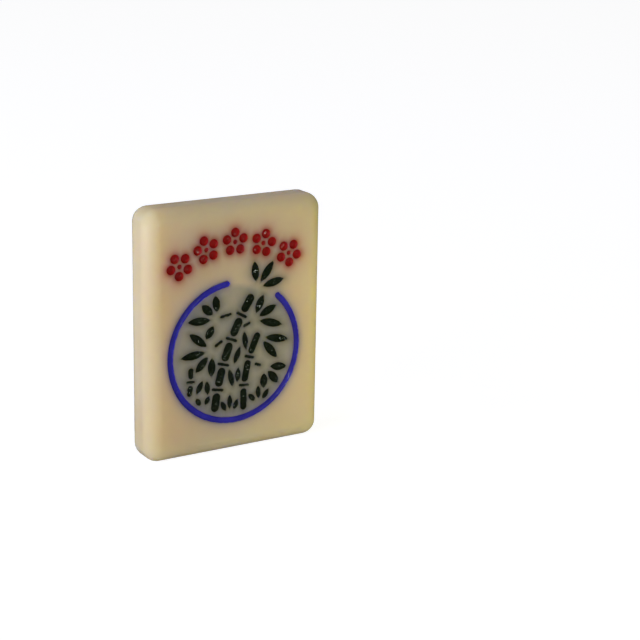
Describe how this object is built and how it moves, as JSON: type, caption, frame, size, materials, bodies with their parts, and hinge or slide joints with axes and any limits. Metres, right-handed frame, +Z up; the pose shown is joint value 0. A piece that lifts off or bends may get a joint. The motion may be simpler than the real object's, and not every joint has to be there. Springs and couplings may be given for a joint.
{
  "type": "mahjong tile",
  "caption": "Flat upright mahjong tile with rounded edges, an open ring round a bamboo picture and a row of blossoms, engraved and filled with enamel.",
  "frame": {"origin": "middle of the foot, where the upright tile stands on its lower end", "axes": "+Z up along the tile's height, +X to the right as one looks at the engraved face, +Y from the engraved face to the plain back"},
  "size_m": [0.023, 0.0052, 0.03],
  "materials": {
    "ivory_plastic": "polished ivory-coloured moulding, slightly translucent",
    "blue_enamel": "air-dried enamel, glossy",
    "red_enamel": "air-dried enamel, glossy",
    "green_enamel": "air-dried enamel, glossy, near black"
  },
  "bodies": {
    "root": {"tile_body": "ivory_plastic", "enamel_ring": "blue_enamel", "enamel_blossom_1": "red_enamel", "enamel_blossom_2": "red_enamel", "enamel_blossom_3": "red_enamel", "enamel_blossom_4": "red_enamel", "enamel_blossom_5": "red_enamel", "enamel_culm_tall": "green_enamel", "enamel_culm_slim": "green_enamel", "enamel_culm_young": "green_enamel", "enamel_culm_joints": "green_enamel", "enamel_twigs": "green_enamel", "enamel_leaves_top": "green_enamel", "enamel_leaves_upper_left": "green_enamel", "enamel_leaves_left": "green_enamel", "enamel_leaves_upper_right": "green_enamel", "enamel_leaves_right": "green_enamel", "enamel_leaves_lower_right": "green_enamel", "enamel_leaves_lower_left": "green_enamel", "enamel_leaves_between": "green_enamel", "enamel_grass": "green_enamel"}
  },
  "joints": []
}
